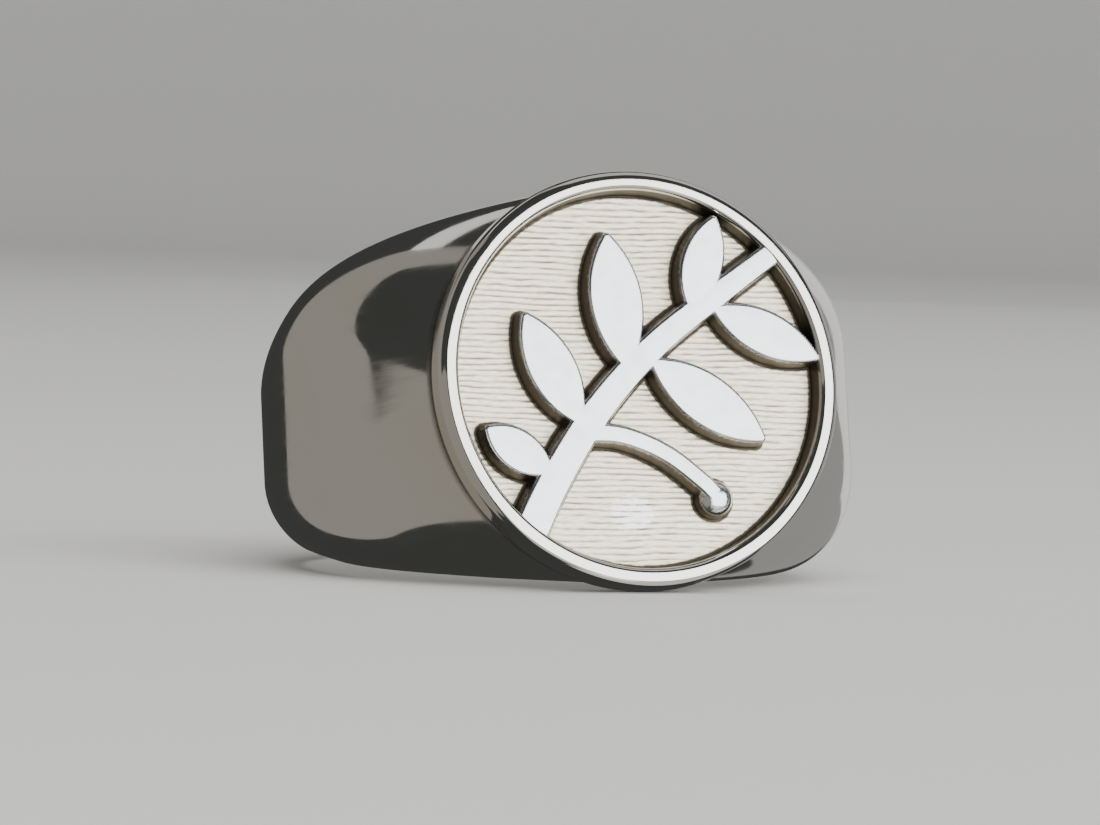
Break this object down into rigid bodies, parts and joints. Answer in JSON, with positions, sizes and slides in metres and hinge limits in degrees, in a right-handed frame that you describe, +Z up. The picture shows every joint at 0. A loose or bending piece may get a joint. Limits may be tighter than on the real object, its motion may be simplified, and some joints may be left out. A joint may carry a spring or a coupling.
{
  "type": "signet ring",
  "caption": "Heavy round-faced signet ring with a raised rim, a sunk satin ground and an applied leafy sprig in relief; tapered shank.",
  "frame": {"origin": "middle of the footprint, on the surface that the ring lies on", "axes": "+Z up from the surface; the round face looks towards -Y and leans back 13 degrees; +X runs across the shoulders; the finger bore runs up and back, 13 degrees off +Z in the YZ plane"},
  "size_m": [0.0244, 0.0262, 0.0171],
  "materials": {
    "polished_silver": "hand-polished sterling silver, warm, with fine wear scratches and darker creases",
    "satin_ground": "fine-lined satin silver, lightly oxidised at the foot of the relief",
    "relief_silver": "polished flat tops with oxidised walls"
  },
  "bodies": {
    "root": {"shank": "polished_silver", "left_shoulder": "polished_silver", "right_shoulder": "polished_silver", "head_block": "polished_silver", "bezel_rim": "polished_silver", "face_plate": "satin_ground", "sprig_stem": "relief_silver", "sprig_leaf_first": "relief_silver", "sprig_leaf_second": "relief_silver", "sprig_leaf_third": "relief_silver", "sprig_leaf_fourth": "relief_silver", "sprig_leaf_fifth": "relief_silver", "sprig_leaf_sixth": "relief_silver", "sprig_berry_stalk": "relief_silver", "sprig_berry": "relief_silver"}
  },
  "joints": []
}
